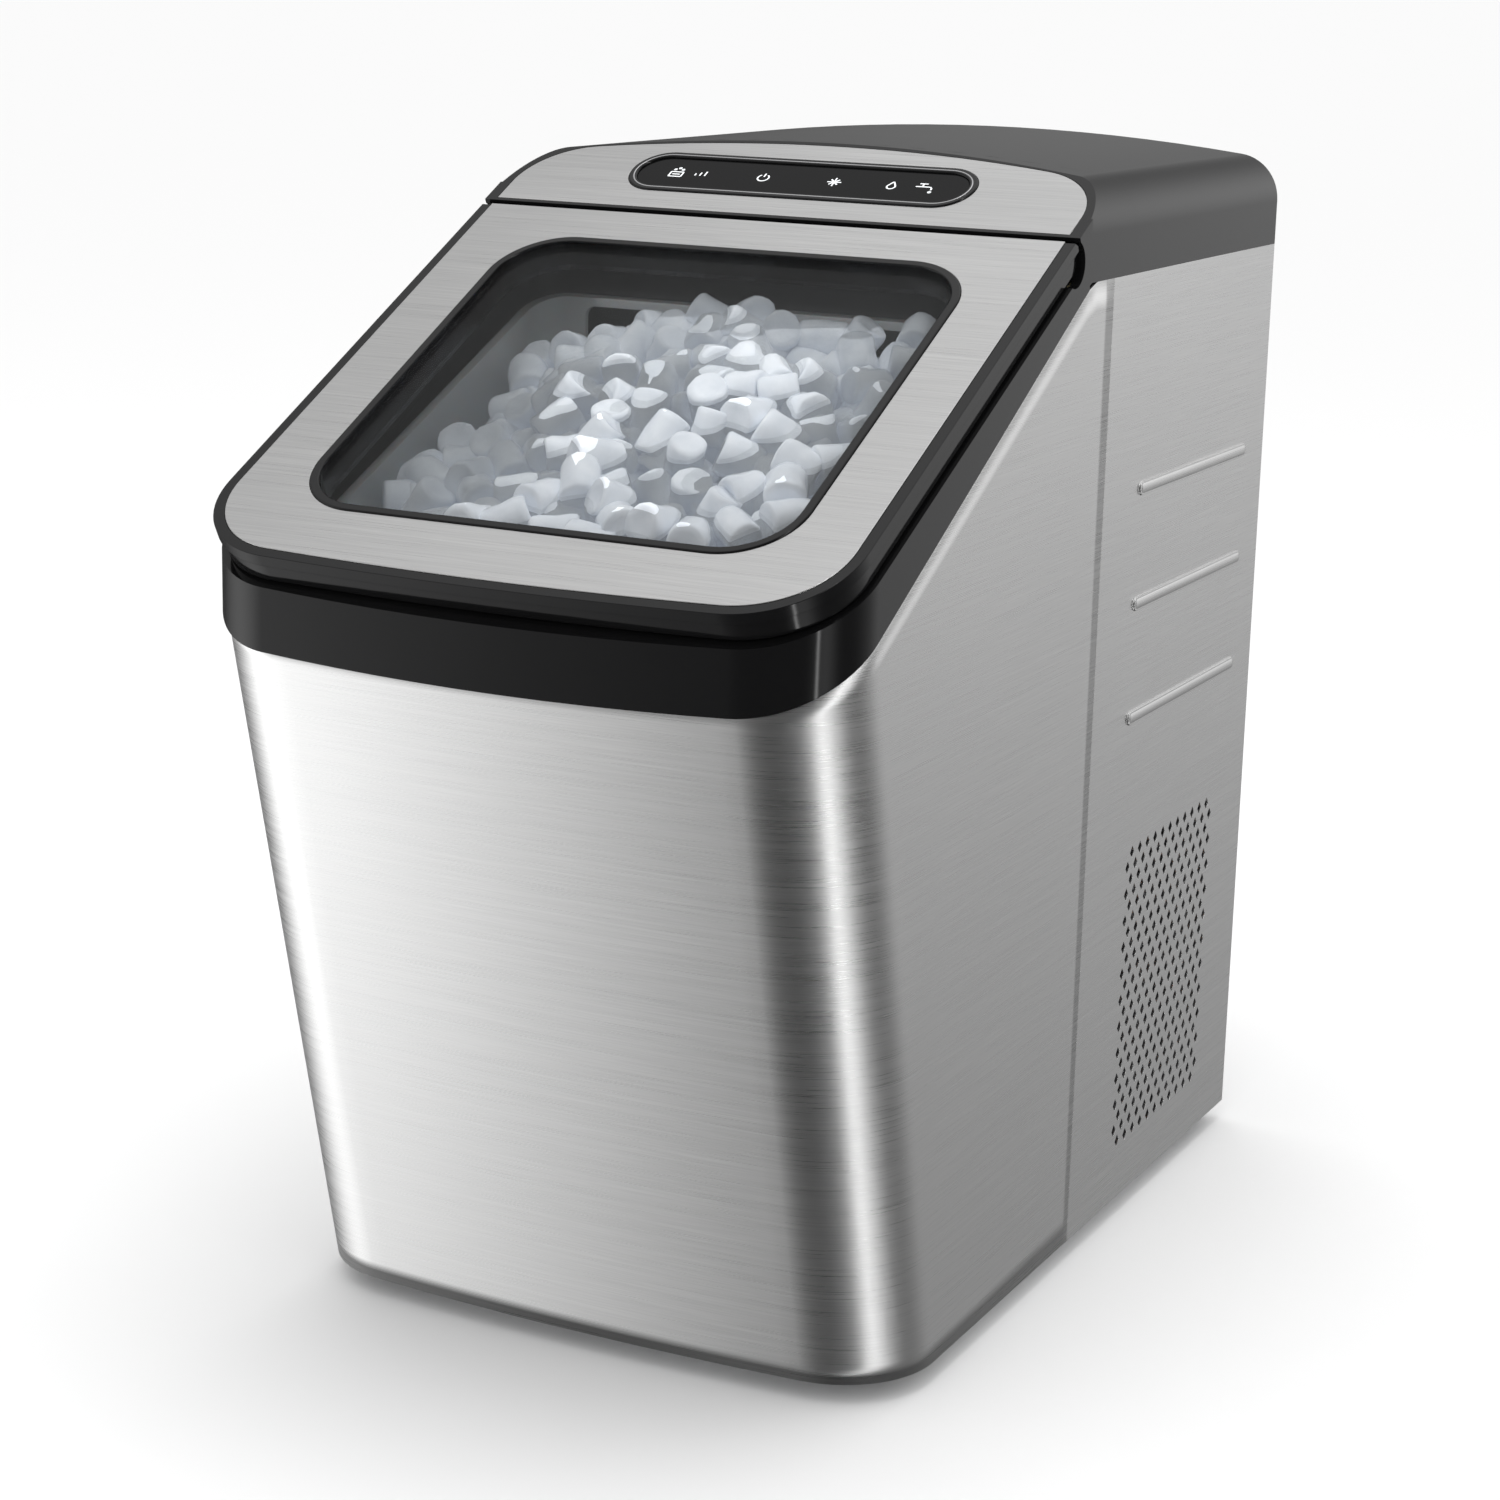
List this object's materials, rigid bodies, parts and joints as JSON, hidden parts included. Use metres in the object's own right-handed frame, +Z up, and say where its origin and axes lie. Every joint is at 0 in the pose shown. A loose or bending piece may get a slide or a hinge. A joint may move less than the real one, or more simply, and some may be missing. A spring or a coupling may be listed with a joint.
{
  "type": "countertop nugget ice maker",
  "caption": "Countertop ice maker with a leaning brushed steel front, a sloping lid with a window over the ice bin, a touch panel, side vents and a rear drain.",
  "frame": {"origin": "centre of the bounding box at the bottom of the feet", "axes": "+Z up, -Y the front with the lid's nose, +X the side with the condenser"},
  "size_m": [0.2416, 0.4222, 0.4144],
  "materials": {
    "casing_steel": "brushed lengthwise, satin",
    "lid_steel": "fine brushed, satin",
    "cap_black": "polished",
    "trim_black": "polished",
    "satin_black": "satin",
    "touch_black": "polished",
    "ring_silver": "polished",
    "board_green": "lacquered",
    "clear_pane": "clear, polished",
    "basket_grey": "translucent grey, satin",
    "liner_grey": "satin",
    "foam": "rigid foam",
    "white_plastic": "satin",
    "float_orange": "satin",
    "rubber_black": "matt",
    "gasket_grey": "matt",
    "zinc_plate": "galvanised",
    "steel_parts": "machined",
    "hardware": "zinc plated",
    "copper": "drawn copper",
    "fins": "mill finish",
    "black_paint": "semi gloss",
    "gear_white": "moulded",
    "gearbox_cast": "die cast",
    "hose_clear": "silicone"
  },
  "bodies": {
    "cabinet": {"front_wrap": "casing_steel", "right_side_panel": "casing_steel", "left_side_panel": "casing_steel", "back_panel": "zinc_plate", "base_pan": "zinc_plate", "feet": "rubber_black", "top_cap": "cap_black", "collar": "trim_black", "control_strip": "lid_steel", "touch_ring": "ring_silver", "touch_overlay": "touch_black", "control_board": "board_green", "hinge_pins": "hardware", "bulkhead": "zinc_plate", "bin_foam": "foam", "bin_liner": "liner_grey", "ice_basket": "basket_grey", "float_stem": "white_plastic", "ice_chute": "white_plastic", "freezing_barrel": "steel_parts", "evaporator_coil": "copper", "barrel_jacket": "foam", "extruder_head": "steel_parts", "auger_bushes": "white_plastic", "head_hood": "white_plastic", "gear_case": "gearbox_cast", "gear_case_lid": "gearbox_cast", "drive_motor": "zinc_plate", "compressor": "black_paint", "compressor_grommets": "rubber_black", "condenser_fins": "fins", "condenser_tube": "copper", "fan_shroud": "satin_black", "fan_motor": "satin_black", "discharge_line": "copper", "filter_drier": "copper", "suction_line": "copper", "water_pump": "satin_black", "supply_hose": "hose_clear", "drain_hose": "hose_clear", "drain_spigot": "satin_black", "power_inlet": "satin_black", "power_board": "board_green", "case_screws": "hardware"},
    "lid": {"lid_frame": "trim_black", "lid_plate": "lid_steel", "window_bezel": "satin_black", "outer_pane": "clear_pane", "inner_pane": "clear_pane", "lid_gasket": "gasket_grey"},
    "power_button": {"power_key": "touch_black"},
    "clean_button": {"clean_key": "touch_black"},
    "float": {"water_float": "float_orange"},
    "auger_drive": {"auger": "steel_parts", "output_gear": "gear_white"},
    "idler": {"idler_gear": "gear_white"},
    "motor_rotor": {"motor_pinion": "steel_parts"},
    "fan": {"condenser_fan": "satin_black"},
    "impeller": {"pump_impeller": "white_plastic"},
    "plug": {"drain_plug": "rubber_black"}
  },
  "joints": [
    {"name": "lid_hinge", "type": "hinge", "parent": "cabinet", "child": "lid", "pos_m": [0, -0.01482, 0.38065], "axis": [-1, 0, 0], "range_deg": [0, 75]},
    {"name": "power_button_press", "type": "slide", "parent": "cabinet", "child": "power_button", "axis": [0, 0.4602, -0.8878], "range_m": [0, 0.0004], "stiffness_N_per_m": 400, "springref_m": -0.0005},
    {"name": "clean_button_press", "type": "slide", "parent": "cabinet", "child": "clean_button", "axis": [0, 0.4602, -0.8878], "range_m": [0, 0.0004], "stiffness_N_per_m": 400, "springref_m": -0.0005},
    {"name": "float_rise", "type": "slide", "parent": "cabinet", "child": "float", "axis": [0, 0, 1], "range_m": [0, 0.05]},
    {"name": "auger_spin", "type": "hinge", "parent": "cabinet", "child": "auger_drive", "pos_m": [0.008, 0.08714, 0.1865], "axis": [0, 0, 1], "continuous": true},
    {"name": "idler_spin", "type": "hinge", "parent": "cabinet", "child": "idler", "pos_m": [0.02185, 0.04908, 0.1865], "axis": [0, 0, 1], "continuous": true},
    {"name": "motor_spin", "type": "hinge", "parent": "cabinet", "child": "motor_rotor", "pos_m": [-0.01339, 0.0619, 0.1865], "axis": [0, 0, 1], "continuous": true},
    {"name": "fan_spin", "type": "hinge", "parent": "cabinet", "child": "fan", "pos_m": [0.08, 0.11614, 0.0772], "axis": [1, 0, 0], "continuous": true},
    {"name": "impeller_spin", "type": "hinge", "parent": "cabinet", "child": "impeller", "pos_m": [-0.062, 0.04314, 0.028], "axis": [0, 0, 1], "continuous": true},
    {"name": "plug_pull", "type": "slide", "parent": "cabinet", "child": "plug", "axis": [0, 1, 0], "range_m": [0, 0.02]}
  ],
  "couplings": [
    {"joint": "idler_spin", "follows": "auger_spin", "ratio": -2.8571},
    {"joint": "motor_spin", "follows": "auger_spin", "ratio": 7.3469}
  ]
}
